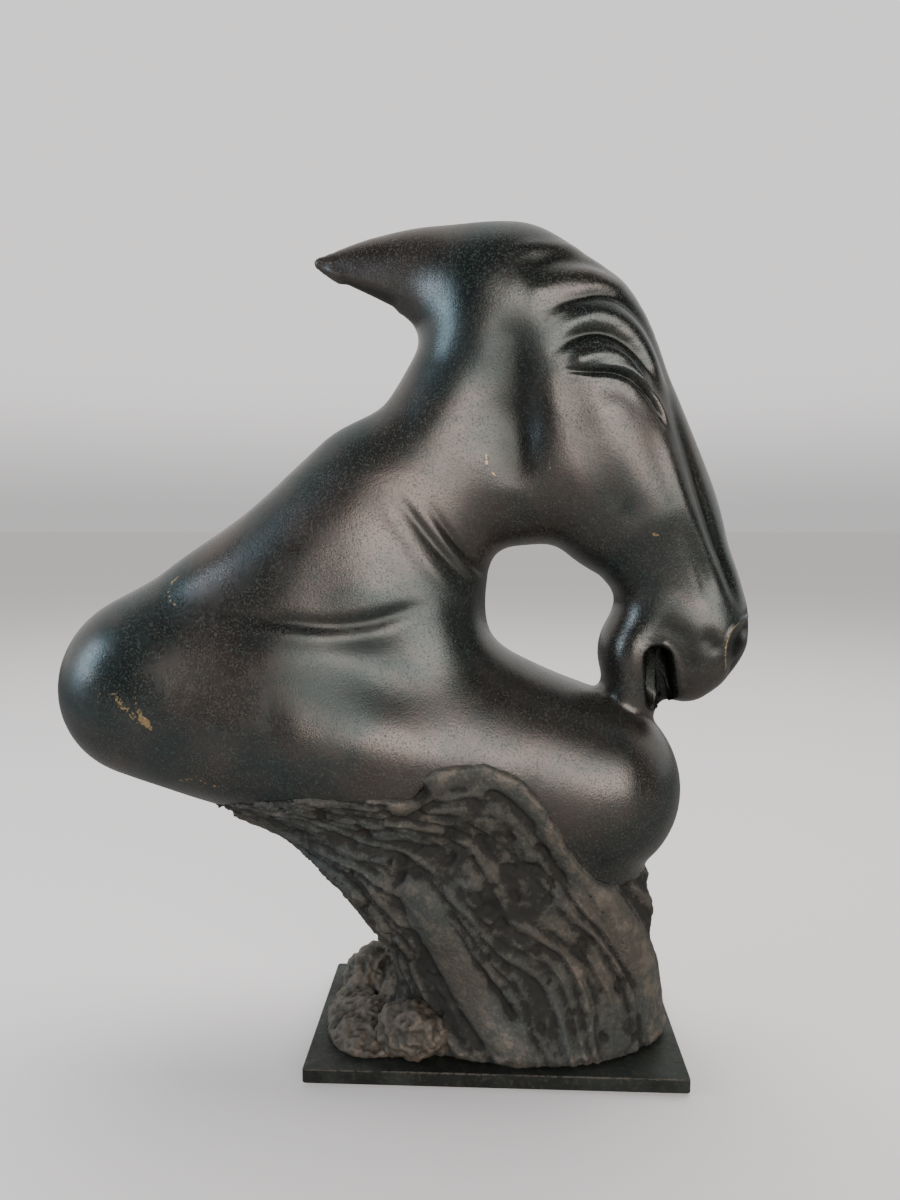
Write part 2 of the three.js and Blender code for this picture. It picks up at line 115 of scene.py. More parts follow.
# Pale cloth behind the statue and a dark room in front of it, for what the bronze reflects.
def makeWorld():
    world = bpy.data.worlds.new("studio")
    bpy.context.scene.world = world
    world.use_nodes = True
    nodes, links = world.node_tree.nodes, world.node_tree.links
    nodes.clear()
    place = nodes.new("ShaderNodeTexCoord")
    parts = nodes.new("ShaderNodeSeparateXYZ")
    links.new(place.outputs["Generated"], parts.inputs[0])
    span = nodes.new("ShaderNodeMapRange")
    span.inputs["From Min"].default_value = -1
    links.new(parts.outputs["Y"], span.inputs["Value"])

    def background(along, interpolation, *ends):
        ramp = nodes.new("ShaderNodeValToRGB")
        ramp.color_ramp.interpolation = interpolation
        for element, (position, end) in zip(ramp.color_ramp.elements, ends):
            element.position = surroundings[position] if position else 0
            element.color = (*surroundings[end], 1)
        shader = nodes.new("ShaderNodeBackground")
        links.new(along, ramp.inputs["Fac"])
        links.new(ramp.outputs["Color"], shader.inputs["Color"])
        return shader.outputs[0]

    rays = nodes.new("ShaderNodeLightPath")
    mix = nodes.new("ShaderNodeMixShader")
    links.new(rays.outputs["Is Camera Ray"], mix.inputs["Fac"])
    lit = background(span.outputs["Result"], "LINEAR",
                     ("roomEnds", "roomSide"), ("clothStarts", "clothSide"))
    links.new(lit, mix.inputs[1])
    seen = background(parts.outputs["Z"], "EASE", (None, "seenLow"), ("highFrom", "seenHigh"))
    links.new(seen, mix.inputs[2])
    out = nodes.new("ShaderNodeOutputWorld")
    links.new(mix.outputs[0], out.inputs["Surface"])


def makeFloor():
    bm = bmesh.new()
    bmesh.ops.create_grid(bm, x_segments=2, y_segments=2, size=30)
    mesh = bpy.data.meshes.new("floor")
    bm.to_mesh(mesh)
    bm.free()
    floor = bpy.data.objects.new("floor", mesh)
    bpy.context.collection.objects.link(floor)
    material = bpy.data.materials.new("paleFloor")
    material.use_nodes = True
    tree = material.node_tree
    shader = tree.nodes["Principled BSDF"]
    shader.inputs["Roughness"].default_value = 0.9
    shader.inputs["Emission Strength"].default_value = 1
    rays = tree.nodes.new("ShaderNodeLightPath")
    for socket, reflected, seen in (("Base Color", "floorReflected", "floor"),
                                    ("Emission Color", "noGlow", "floorGlow")):
        mix = tree.nodes.new("ShaderNodeMix")
        mix.data_type = "RGBA"
        mix.inputs[6].default_value = (*surroundings[reflected], 1)
        mix.inputs[7].default_value = (*surroundings[seen], 1)
        tree.links.new(rays.outputs["Is Camera Ray"], mix.inputs[0])
        tree.links.new(mix.outputs[2], shader.inputs[socket])
    mesh.materials.append(material)


makeCamera()
makeLamps()
makeWorld()
makeFloor()
print("studio ready")


# ---- Masses: functions of an (n, 3) array of points in millimetres, negative inside ----


def smoothRun(stations, perSpan):
    stations = np.array(stations, float)
    last = len(stations) - 1
    run = []
    for i in range(last):
        before, here = stations[max(i - 1, 0)], stations[i]
        after, beyond = stations[i + 1], stations[min(i + 2, last)]
        leave, arrive = (after - before) / 2, (beyond - here) / 2
        for t in np.arange(perSpan) / perSpan:
            cubic = 2 * here - 2 * after + leave + arrive
            square = 3 * after - 3 * here - 2 * leave - arrive
            run.append(((cubic * t + square) * t + leave) * t + here)
    run.append(stations[last])
    return np.array(run)


farAway = 80.0  # past this distance a mass is only said to be far


# An ellipse swept in the plane of symmetry: stations of x, z, half-width in the plane, half-depth.
def limb(stations, squareness=2.0, perSpan=8):
    run = smoothRun(stations, perSpan)
    reachOut = run[:, 2:].max() + farAway
    low, high = run[:, :2].min(axis=0) - reachOut, run[:, :2].max(axis=0) + reachOut

    def mass(points):
        x, z = points[:, 0], points[:, 2]
        near = (x > low[0]) & (x < high[0]) & (z > low[1]) & (z < high[1])
        x, z, across = x[near], z[near], np.abs(points[near, 1])
        best = np.full(len(x), farAway)
        for start, change in zip(run[:-1], np.diff(run, axis=0)):
            dx, dz = x - start[0], z - start[1]
            t = np.clip((dx * change[0] + dz * change[1]) / (change[0] ** 2 + change[1] ** 2), 0, 1)
            width, depth = start[2] + t * change[2], start[3] + t * change[3]
            u = np.hypot(dx - t * change[0], dz - t * change[1]) / width
            v = across / depth
            if squareness == 2:
                reach = np.sqrt(u * u + v * v) + 1e-6
                slope = np.hypot(u / width, v / depth) / reach
            else:
                reach = (u**squareness + v**squareness) ** (1 / squareness) + 1e-6
                power = squareness - 1
                slope = np.hypot((u / reach) ** power / width, (v / reach) ** power / depth)
            np.minimum(best, (reach - 1) / np.maximum(slope, 1e-4), out=best)
        out = np.full(len(points), farAway)
        out[near] = best
        return out

    return mass


def blend(width, *masses):
    def mass(points):
        joined = masses[0](points)
        for other in masses[1:]:
            value = other(points)
            near = np.maximum(width - np.abs(joined - value), 0)
            joined = np.minimum(joined, value) - near * near / (4 * width)
        return joined

    return mass


# Stations of each part, in millimetres: x, z, half-width in the plane of symmetry, half-depth.
horse = {
    "torso": [(-253, 256, 64, 58), (-180, 238, 68, 68), (-90, 222, 71, 76), (0, 203, 70, 74),
              (66, 188, 66, 66)],
    "neck": [(-130, 285, 97, 60), (-95, 335, 83, 56), (-64, 383, 67, 50), (-36, 428, 54, 46),
             (-10, 478, 50, 45), (6, 516, 49, 45)],
    "withers": [(-240, 266, 60, 52), (-195, 306, 56, 48), (-140, 341, 58, 50), (-85, 390, 58, 48)],
    "throatRoot": [(-75, 325, 58, 52), (-40, 268, 46, 58), (10, 224, 51, 62), (60, 194, 56, 62)],
    "face": [(6, 522, 50, 46), (42, 500, 60, 54), (62, 449, 63, 56), (84, 406, 60, 52),
             (106, 378, 50, 45), (121, 350, 43, 39), (132, 325, 41, 37), (142, 302, 36, 38),
             (139, 287, 31, 34), (134, 275, 25, 28)],
    "jowl": [(20, 411, 50, 46), (58, 419, 52, 52)],
    "chin": [(116, 318, 22, 28), (99, 291, 25, 33), (95, 268, 19, 30), (94, 250, 21, 27)],
    "ear": [(10, 543, 36, 40), (-40, 549, 33, 30), (-80, 554, 22, 18), (-108, 556, 12, 9),
            (-126, 559, 4, 4)],
    "brace": [(-160, 184, 24, 36), (-108, 166, 40, 50), (-55, 130, 54, 58), (0, 95, 72, 58)],
    "trunk": [(24, 6, 97, 66), (22, 50, 95, 58), (18, 100, 94, 58), (4, 150, 98, 64)],
}
squarer = {"torso": 2.2, "face": 2.3, "trunk": 2.2}
masses = {name: limb(stations, squarer.get(name, 2.0)) for name, stations in horse.items()}

neckGroup = blend(16, masses["neck"], masses["withers"])
barrel = blend(20, blend(24, masses["torso"], neckGroup), masses["throatRoot"])
headGroup = blend(15, blend(10, masses["face"], masses["jowl"]), masses["chin"])
upper = blend(24, blend(22, neckGroup, headGroup), masses["ear"])
columnBody = blend(20, masses["brace"], masses["trunk"])


underpart = blend(10, barrel, columnBody)


def wholeFigure(points):
    return np.minimum(underpart(points), upper(points))


# ---- Mesh tools ----


def pointsOf(mesh):
    flat = np.empty(len(mesh.vertices) * 3)
    mesh.vertices.foreach_get("co", flat)
    points = flat.reshape(-1, 3) / mm
    points[:, 2] -= linerTop
    return points


def setPoints(mesh, points):
    placed = points.copy()
    placed[:, 2] += linerTop
    mesh.vertices.foreach_set("co", (placed * mm).ravel())
    mesh.update()


def normalsOf(mesh):
    flat = np.empty(len(mesh.vertices) * 3)
    mesh.vertex_normals.foreach_get("vector", flat)
    return flat.reshape(-1, 3)


def slopeOf(mass, points, probe=0.8):
    tetra = np.array([(1, 1, 1), (1, -1, -1), (-1, 1, -1), (-1, -1, 1)], float)
    slope = sum(corner * mass(points + probe * corner)[:, None] for corner in tetra)
    return slope / np.maximum(np.linalg.norm(slope, axis=1), 1e-6)[:, None]


# Moves a mesh's vertices onto the surface of a mass: along the mass's own slope where they are
# far from it, along the mesh's normals where they are close.
def settle(mesh, mass, turns=3, close=0.9, furthest=6.0, deepest=4.0):
    for turn in range(turns):
        points, ways = pointsOf(mesh), normalsOf(mesh)
        value = mass(points)
        value[value < -deepest] = 0  # the flat of a cut, which stays where it is
        far = np.abs(value) > close
        ways[far] = slopeOf(mass, points[far])
        setPoints(mesh, points - ways * np.clip(value, -furthest, furthest)[:, None])


def setAttribute(mesh, name, values):
    layer = mesh.attributes.new(name, "FLOAT", "POINT")
    layer.data.foreach_set("value", np.asarray(values, np.float32))


def shadeSmooth(mesh):
    for face in mesh.polygons:
        face.use_smooth = True


def meshFrom(bm, name):
    mesh = bpy.data.meshes.new(name)
    bm.to_mesh(mesh)
    bm.free()
    return mesh


def objectFrom(mesh, name):
    made = bpy.data.objects.new(name, mesh)
    bpy.context.collection.objects.link(made)
    return made


# Applies an object's modifiers and takes the object away again.
def applied(source):
    graph = bpy.context.evaluated_depsgraph_get()
    mesh = bpy.data.meshes.new_from_object(source.evaluated_get(graph))
    bpy.data.objects.remove(source)
    return mesh


def evened(mesh, voxel, cutters=(), added=()):
    bm = bmesh.new()
    for part in (mesh, *added):
        bm.from_mesh(part)
    source = objectFrom(meshFrom(bm, "skin"), "skin")
    remesh = source.modifiers.new("even", "REMESH")
    remesh.mode = "VOXEL"
    remesh.voxel_size = voxel * mm
    for part in cutters:
        cut = source.modifiers.new("cut", "BOOLEAN")
        cut.object = objectFrom(part, "cutter")
        cut.solver = "EXACT"
    tools = [cut.object for cut in source.modifiers if cut.type == "BOOLEAN"]
    even = applied(source)
    for tool in tools:
        bpy.data.objects.remove(tool)
    return even


# The castings are hollow and have holes for pins: keeps only the skin close to a mass's surface.
def outermost(mesh, mass):
    points = pointsOf(mesh)
    atEar = (points[:, 0] < -60) & (points[:, 2] > 500)
    depth = np.where(atEar, figureSettings["earSkinDepth"], figureSettings["skinDepth"])
    inner = np.nonzero(mass(points) < -depth)[0]
    bm = bmesh.new()
    bm.from_mesh(mesh)
    bm.verts.ensure_lookup_table()
    bmesh.ops.delete(bm, geom=[bm.verts[i] for i in inner], context="VERTS")
    front = [max(bm.verts, key=lambda vert: vert.co.z)]
    seen = set(front)
    while front:
        for edge in front.pop().link_edges:
            for vert in edge.verts:
                if vert not in seen:
                    seen.add(vert)
                    front.append(vert)
    bmesh.ops.delete(bm, geom=[vert for vert in bm.verts if vert not in seen], context="VERTS")
    closeHoles(bm, [edge for edge in bm.edges if edge.is_boundary])
    return meshFrom(bm, "outer")


def closeHoles(bm, edges):
    bmesh.ops.holes_fill(bm, edges=edges, sides=0)


# Some CAD castings as one even mesh.
def skinOf(nodes, voxel, added=()):
    bm = bmesh.new()
    for node in nodes:
        bm.from_mesh(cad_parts[node].data)
    bmesh.ops.remove_doubles(bm, verts=bm.verts, dist=1e-6)
    return evened(meshFrom(bm, "castings"), voxel, added=added)


def castNodes(*starts):
    return [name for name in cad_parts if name.startswith(starts)]


# ---- Strokes: what a modelling tool does along a line on the side of the figure ----


def smoothStep(value, low, high):
    t = np.clip((value - low) / (high - low), 0, 1)
    return t * t * (3 - 2 * t)


# Distance from each point to a line in the side view, signed (positive to its left), and how
# far along the line from 0 to 1.
def lineDistance(points, path, perSpan=6):
    run = smoothRun(path, perSpan)
    x, z = points[:, 0], points[:, 2]
    best = np.full(len(points), 1e6)
    side = np.ones(len(points))
    part = np.zeros(len(points))
    for i, (start, change) in enumerate(zip(run[:-1], np.diff(run, axis=0))):
        dx, dz = x - start[0], z - start[1]
        t = (dx * change[0] + dz * change[1]) / (change @ change)
        held = np.clip(t, 0, 1)
        away = np.hypot(dx - held * change[0], dz - held * change[1])
        closer = away < best
        best = np.where(closer, away, best)
        side = np.where(closer, np.sign(change[0] * dz - change[1] * dx), side)
        part = np.where(closer, (i + held) / (len(run) - 1), part)
    return best, side, part


# A stroke: how wide and how high it is, how much of its length it fades in over, and its line.
def stroke(width, height, fade, *path, sharp=False):
    return {"path": path, "width": width, "height": height, "fade": fade, "sharp": sharp}


def strokeHeight(points, path, width, height, fade, sharp):
    reach = (5 if sharp else 3.6) * width
    low, high = np.min(path, axis=0) - reach, np.max(path, axis=0) + reach
    x, z = points[:, 0], points[:, 2]
    near = (x > low[0]) & (x < high[0]) & (z > low[1]) & (z < high[1])
    away, _, part = lineDistance(points[near], path)
    ends = smoothStep(part, 0, fade) * smoothStep(1 - part, 0, fade) if fade else 1
    profile = np.exp(-away / width) if sharp else np.exp(-((away / width) ** 2))
    out = np.zeros(len(points))
    out[near] = height * profile * ends
    return out


def strokesOn(points, strokes):
    return sum(strokeHeight(points, **stroke) for stroke in strokes.values())


# ---- The smooth figure ----

figureSettings = {
    "castVoxel": 2.9,  # of the skin that is taken off the castings first
    "voxel": 2.0,
    "skinDepth": 1.8,  # deeper than this under the surface is a casting's inside
    "earSkinDepth": 3.4,
    "footCut": 100,
    "hiddenDepth": 9.0,  # how far the smooth skin sinks under the rough one
    "hiddenFrom": (2, 9),  # how far past the rough part's edge it starts to sink and is sunk
    "hiddenBelow": 240,
    "strokesFrom": (5, 20),  # from the plane of symmetry, where the head's strokes fade in
    "septum": 8,
    "pastCheek": 70,
    "plug": 18,  # half the width of what closes the mouth while the skin is taken off
    "mouthRim": (0.8, 2.2),
    "hollowAt": 3.5,  # the stroke depth at which the painted shade in creases is darkest
    "rubs": 4,
    "barrelRubs": 26,
    "barrelEnd": (50, 410),  # the x and the z that bound the barrel, which has no sharp edges
    "mouthTop": (110.5, 284, 9.5),
    "mouthFoot": (115.0, 256, 10.5),
}

headStrokes = {
    "crownFold": stroke(5, 1.2, 0.3, (6, 553), (26, 556), (44, 558), (58, 556)),
    "crownHollow": stroke(6, -1.9, 0.3, (6, 541), (24, 544), (40, 548), (56, 549), (70, 545),
                          (84, 533)),
    "foldOne": stroke(8, 2.0, 0, (28, 526), (42, 533), (55, 536.5), (66, 536), (78, 531)),
    "foldOneHollow": stroke(4.2, -2.7, 0.25, (22, 509), (40, 517.5), (54, 522), (66, 524.5), (78, 523),
                            (89, 516.5), (99, 505), (107, 489), (114, 468), (120, 447)),
    "foldTwo": stroke(6.5, 2.3, 0.25, (36, 499), (52, 507), (66, 511), (79, 508.5), (90, 501.5),
                      (99, 490), (106, 475), (111, 459)),
    "browHollow": stroke(4.2, -3.0, 0.25, (32, 484), (46, 494.5), (60, 499), (73, 497.5), (84, 491.5),
                         (93, 482.5), (101, 470.5), (106.5, 458)),
    "lid": stroke(6.5, 2.4, 0, (54, 481.5), (65, 484.5), (76, 484), (86, 479.5), (94, 471.5)),
    "lidFold": stroke(1.2, -0.9, 0.25, (50, 487), (60, 491), (69, 492), (78, 489.5), (86, 484.5),
                      (93, 476), (99, 467), (105, 454), sharp=True),
    "lidEdge": stroke(3.2, 1.1, 0.2, (110, 437), (107.5, 447), (103.5, 455.5), (98, 463.5), (91, 470.5),
                      (83, 475.5), (73, 477.5), (60, 477)),
    "eyeSlit": stroke(1.9, -4.2, 0.2, (110.5, 436), (107, 446), (102.5, 454), (97, 461), (90, 467.3),
                      (82, 472), (72, 474), (56, 474.4), (40, 475.5)),
    "lowerLid": stroke(3.4, 0.6, 0.3, (60, 469.5), (70, 469.5), (80, 466.5), (88, 461), (95, 453)),
    "underEye": stroke(6, -0.35, 0.3, (60, 462), (70, 462.5), (81, 458.5), (89, 451), (95, 442)),
    "cheek": stroke(17, 2.2, 0, (70, 446), (82, 425), (96, 402), (108, 384)),
    "cheekEdge": stroke(13, -1.6, 0, (50, 462), (54, 445), (62, 424), (74, 403), (84, 386)),
    "jawHollow": stroke(15, -2.6, 0, (10, 496), (12, 468), (13, 440), (12, 416)),
    "noseHollow": stroke(4.4, -2.4, 0.2, (113, 466), (119, 447), (126, 424), (134, 398), (143, 373),
                         (153, 350), (161, 331), (166, 316)),
    "noseRidge": stroke(6, 2.0, 0.25, (104, 446), (111, 425), (119, 402), (128, 380), (138, 358),
                        (147, 339)),
    "cheekHollow": stroke(4.6, -1.2, 0.3, (124, 376), (131, 361), (137, 346), (141, 332), (144, 320)),
    "nostrilHollow": stroke(7.5, -4.2, 0, (180, 306), (172, 303), (166, 296), (165, 286), (168, 276)),
    "nostrilRim": stroke(1.3, 1.3, 0.05, (178, 313), (171, 312), (164, 310), (158.5, 305), (155.5, 297),
                         (155, 287), (157, 277)),
    "nostrilDip": stroke(6.5, -2.0, 0, (144, 298), (147, 294)),
    "muzzleHollow": stroke(7, -1.2, 0, (118, 306), (130, 297), (133, 282)),
    "mouthRimRight": stroke(2.2, 0.9, 0.1, (113, 296), (119.5, 290), (123.5, 282), (126, 272),
                            (128, 262)),
}
bodyStrokes = {
    "collar": stroke(5.5, -2.2, 0.3, (-210, 320), (-175, 314), (-137, 311), (-110, 309), (-83, 312),
                     (-60, 319), (-38, 324)),
    "collarLip": stroke(9, 1.6, 0.3, (-195, 306), (-140, 303), (-108, 301), (-80, 303), (-56, 310)),
    "throatFoldOne": stroke(6.5, 1.7, 0.4, (-80, 398), (-64, 375), (-46, 350), (-28, 331), (-14, 321)),
    "throatFoldTwo": stroke(5, 1.4, 0.4, (-60, 398), (-46, 378), (-31, 358), (-18, 343), (-9, 334)),
    "throatGrooveOne": stroke(3.6, -1.9, 0.4, (-72, 404), (-59, 386), (-42, 364), (-26, 345),
                              (-12, 331)),
    "throatGrooveTwo": stroke(3.6, -1.7, 0.4, (-50, 398), (-38, 378), (-25, 360), (-13, 347),
                              (-4, 338)),
    "earRim": stroke(2.2, 1.0, 0.2, (-124, 556), (-112, 550), (-98, 545), (-82, 540), (-66, 533),
                     (-56, 524)),
    "earHollow": stroke(5, -2.4, 0.2, (-112, 545), (-98, 539), (-82, 533), (-68, 526)),
    "earNub": stroke(3.2, 1.6, 0, (-128, 560), (-126, 559)),
    "flank": stroke(26, 1.6, 0.15, (-150, 232), (-90, 236), (-30, 226), (30, 208)),
}


turnedUp = Matrix(((1, 0, 0), (0, 0, -1), (0, 1, 0)))


# The mouth's slot from one depth to another, as a closed mesh.
def mouthBlock(near, far):
    bm = bmesh.new()
    for x, z, radius in (figureSettings["mouthTop"], figureSettings["mouthFoot"]):
        for y in (near, far):
            made = bmesh.ops.create_circle(bm, segments=40, radius=radius * mm)
            bmesh.ops.rotate(bm, verts=made["verts"], matrix=turnedUp)
            place = Vector((x, y, z + linerTop)) * mm
            bmesh.ops.translate(bm, verts=made["verts"], vec=place)
    hull = bmesh.ops.convex_hull(bm, input=bm.verts)
    spare = list({*hull["geom_interior"], *hull["geom_unused"]})
    bmesh.ops.delete(bm, geom=[g for g in spare if isinstance(g, bmesh.types.BMVert)], context="VERTS")
    bmesh.ops.recalc_face_normals(bm, faces=bm.faces)
    return meshFrom(bm, "mouthBlock")


# The open mouth on each side of the septum, as a mass.
def mouthSlot(points):
    (x1, z1, r1), (x2, z2, r2) = figureSettings["mouthTop"], figureSettings["mouthFoot"]
    dx, dz = points[:, 0] - x1, points[:, 2] - z1
    along = np.clip((dx * (x2 - x1) + dz * (z2 - z1)) / ((x2 - x1) ** 2 + (z2 - z1) ** 2), 0, 1)
    around = np.hypot(dx - along * (x2 - x1), dz - along * (z2 - z1)) - r1 - along * (r2 - r1)
    return np.maximum(around, figureSettings["septum"] - np.abs(points[:, 1]))


septum = limb([(110, 292, 9, 24), (108, 274, 9, 22), (101, 254, 10, 20)])


def figureMass(points):
    body = underpart(points)
    head = np.minimum(upper(points), septum(points))
    width = 0.1 + 7 * smoothStep(points[:, 0], 40, 62)
    near = np.maximum(width - np.abs(body - head), 0)
    solid = np.minimum(body, head) - near * near / (4 * width)
    return np.maximum(solid, np.minimum(-mouthSlot(points), -body))


# Rubs the mesh even: a little all over, more on the barrel.
def eased(mesh):
    bm = bmesh.new()
    bm.from_mesh(mesh)
    endX, endZ = figureSettings["barrelEnd"]
    inBarrel = [vert for vert in bm.verts if vert.co.x < endX * mm and vert.co.z < endZ * mm]
    for verts, rounds in ((bm.verts[:], figureSettings["rubs"]), (inBarrel, figureSettings["barrelRubs"])):
        for turn in range(rounds):
            bmesh.ops.smooth_vert(bm, verts=verts, factor=0.5,
                                  use_axis_x=True, use_axis_y=True, use_axis_z=True)
    return meshFrom(bm, "eased")


# Finer faces where the head is modelled closely.
def refine(mesh, wanted):
    bm = bmesh.new()
    bm.from_mesh(mesh)
    edges = [edge for edge in bm.edges if wanted((edge.verts[0].co + edge.verts[1].co) / (2 * mm))]
    bmesh.ops.subdivide_edges(bm, edges=edges, cuts=1, use_grid_fill=True)
    return meshFrom(bm, "refined")


def inFace(place):
    x, z = place.x, place.z - linerTop
    eye = 34 < x < 124 and 432 < z < 534
    mouth = 92 < x < 134 and 240 < z < 302
    return eye or mouth or (x > 146 and 262 < z < 326)


roughEdge = [(-240, 168), (-200, 180), (-175, 186), (-137, 195), (-99, 196), (-62, 197), (-52, 206),
             (-40, 218), (-17, 222), (9, 217), (30, 197), (45, 169), (58, 147), (75, 134), (95, 131),
             (140, 136)]


# How far into the rough part a point is, in millimetres; negative on the smooth part.
def roughDepth(points):
    away, side = lineDistance(points, roughEdge)[:2]
    return -away * side


scuffMarks = [  # where the patina is worn to the pale metal
    stroke(1.5, 0.9, 0, (-220, 341), (-226, 334), (-224, 325), (-214, 318)),
    stroke(4.5, 0.85, 0, (-256, 262), (-250, 255), (-243, 247), (-234, 244)),
    stroke(1.6, 0.8, 0, (-240, 268), (-241, 258), (-236, 247), (-230, 238)),
    stroke(6, 0.62, 0, (-276, 274), (-270, 266), (-268, 258)),
    stroke(6, 0.5, 0, (-286, 262), (-290, 248)),
    stroke(2.6, 0.75, 0, (-216, 201), (-204, 204), (-194, 200), (-186, 199)),
    stroke(1.6, 0.9, 0, (-8, 425), (-6, 414), (-1, 408)),
    stroke(1.2, 0.8, 0, (34, 416), (34, 406)),
    stroke(1.0, 0.85, 0, (96, 373), (106, 370)),
    stroke(0.8, 0.8, 0, (97, 369), (108, 369)),
    stroke(0.8, 1.2, 0, (164, 310), (158.5, 305), (155.5, 297), (155, 287), (157, 277)),
    stroke(2.6, 0.75, 0, (-128, 562), (-116, 556)),
]


def makeFigure(coarse):
    septumHalf, past = figureSettings["septum"], figureSettings["pastCheek"]
    slots = [mouthBlock(-past, -septumHalf), mouthBlock(septumHalf, past)]
    mesh = evened(coarse, figureSettings["voxel"], slots)
    bm = bmesh.new()
    bm.from_mesh(mesh)
    bisect(bm, (0, figureSettings["footCut"]), (0, -1))
    mesh = meshFrom(bm, "figure")
    mesh = refine(mesh, inFace)
    settle(mesh, figureMass)
    mesh = eased(mesh)
    points, out = pointsOf(mesh), normalsOf(mesh)
    offCentre = smoothStep(np.abs(points[:, 1]), *figureSettings["strokesFrom"])
    height = strokesOn(points, headStrokes) * offCentre + strokesOn(points, bodyStrokes)
    hidden = smoothStep(roughDepth(points), *figureSettings["hiddenFrom"])
    hidden = hidden * (points[:, 2] < figureSettings["hiddenBelow"])
    height = height - figureSettings["hiddenDepth"] * hidden
    setPoints(mesh, points + out * height[:, None])
    # Painted shade: the deeper a stroke cuts in, the darker the surface is painted, and the mouth's slot
    # is painted dark.
    mouth = 1 - smoothStep(np.abs(mouthSlot(points)), *figureSettings["mouthRim"])
    hollow = np.maximum(-height / figureSettings["hollowAt"], 1.6 * mouth)
    setAttribute(mesh, "hollow", np.clip(hollow, 0, 1))
    setAttribute(mesh, "scuff", sum(strokeHeight(points, **mark) for mark in scuffMarks))
    return mesh


# Cuts away what lies in front of a plane that runs across the figure, and closes the cut.
def bisect(bm, place, facing, clear=True, geom=None):
    geom = geom or [*bm.verts, *bm.edges, *bm.faces]
    made = bmesh.ops.bisect_plane(bm, geom=geom, plane_co=Vector((place[0], 0, place[1] + linerTop)) * mm,
                                  plane_no=(facing[0], 0, facing[1]), clear_outer=clear)
    if clear:
        rim = [edge for edge in made["geom_cut"] if isinstance(edge, bmesh.types.BMEdge)]
        closeHoles(bm, rim)


# The casting joints in the side view: where the figure is divided.
jointLines = {
    "neck": ((-290, 316), (-5, 300)),
    "head": ((-90, 497), (14, 362)),
    "ear": ((-30, 585), (-62, 505)),
    "earFloor": ((-120, 503), (-20, 503)),
    "chin": ((60, 287), (116, 257)),
}
jointReach = {  # low and high x and z where each joint cuts
    "neck": (-400, 45, 250, 360),
    "head": (-140, 60, 335, 560),
    "ear": (-90, 10, 490, 600),
    "earFloor": (-140, -40, 495, 512),
    "chin": (62, 117, 240, 300),
}


def aboveLine(joint, x, z):
    (x1, z1), (x2, z2) = jointLines[joint]
    return (x2 - x1) * (z - z1) - (z2 - z1) * (x - x1) > 0


def pieceAt(x, z):
    if z > 503 and not aboveLine("ear", x, z) and x < 0:
        return "ear"
    if x >= 55:
        return "head" if aboveLine("chin", x, z) or (x > 117 and z > 243) else "torso"
    if not aboveLine("neck", x, z):
        return "torso"
    return "head" if aboveLine("head", x, z) else "neck"


def divide(mesh):
    bm = bmesh.new()
    bm.from_mesh(mesh)
    for joint, ((x1, z1), (x2, z2)) in jointLines.items():
        lowX, highX, lowZ, highZ = jointReach[joint]
        inside = [vert for vert in bm.verts
                  if lowX < vert.co.x / mm < highX and lowZ < vert.co.z / mm - linerTop < highZ]
        faces = {face for vert in inside for face in vert.link_faces}
        edges = {edge for face in faces for edge in face.edges}
        verts = {vert for edge in edges for vert in edge.verts}
        bisect(bm, (x1, z1), (z1 - z2, x2 - x1), clear=False, geom=[*verts, *edges, *faces])
    owner = bm.faces.layers.int.new("owner")
    names = ["torso", "neck", "head", "ear"]
    for face in bm.faces:
        middle = face.calc_center_median() / mm
        face[owner] = names.index(pieceAt(middle.x, middle.z - linerTop))
    pieces = {}
    for index, name in enumerate(names):
        part = bm.copy()
        layer = part.faces.layers.int["owner"]
        spare = [face for face in part.faces if face[layer] != index]
        bmesh.ops.delete(part, geom=spare, context="FACES")
        rim = [edge for edge in part.edges if edge.is_boundary]
        for edge in rim:
            edge.smooth = False
        for face in part.faces:
            face.smooth = True
        closeHoles(part, rim)
        part.faces.layers.int.remove(layer)
        pieces[name] = meshFrom(part, name + "Skin")
    bm.free()
    return pieces


def addPiece(mesh, name, slot, replaced):
    piece = objectFrom(mesh, name)
    mesh.materials.clear()
    mesh.materials.append(materials[slot])
    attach(piece, "root")
    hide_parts(*replaced)


# ---- The rough part under the torso ----

columnSettings = {
    "voxel": 1.72,
    "rollsPerGuide": 4.2,
    "rollHeight": 5.0,
    "fineHeight": 1.4,
    "crumbs": 0.6,
    "pits": 2.6,
    "guideSpacing": 36,  # between two flow lines, as the rolls are counted
    "pitDepth": 1.3,  # of a pit, times its radius
    "strapHalf": 10.5,
    "strapHeight": 5.5,
    "foldHalf": 13,
    "foldHeight": 5.0,
    "lowest": -4,
    "highest": 9,
    "tuck": 5.0,  # how far the rough skin sinks where the smooth one is seen
    "tip": (-211, -199),  # where the rough part starts under the torso
    "footReach": 11,
    "clods": 3.2,
    "cutDepth": 1.4,  # a vertex deeper than this lies on a flat cut and stays
}
strapLine = [(-62, 196), (-50, 203), (-32, 215), (-12, 219), (9, 212), (32, 190), (49, 158), (70, 129),
             (89, 98), (104, 68), (112, 40), (116, 12)]
flowLines = [
    [(-245, 170), (-200, 183), (-170, 190), (-137, 198), (-99, 200), (-62, 203), *strapLine[2:]],
    [(-175, 188), (-135, 186), (-100, 180), (-59, 173), (-28, 152), (2, 128), (32, 96), (54, 58),
     (66, 12)],
    [(-185, 172), (-150, 156), (-110, 143), (-78, 127), (-44, 106), (-22, 78), (2, 42), (18, 12)],
    [(-172, 160), (-140, 138), (-100, 112), (-82, 86), (-76, 60), (-68, 12)],
]
broadFold = [(-52, 128), (-37, 97), (-24, 72), (-8, 46), (16, 16)]
knot = (-51, 203, 7.5)
columnPits = [(-5, 119, 5), (-30, 172, 4), (24, 148, 5), (-62, 150, 4), (60, 92, 5), (-88, 168, 4),
              (84, 58, 4)]


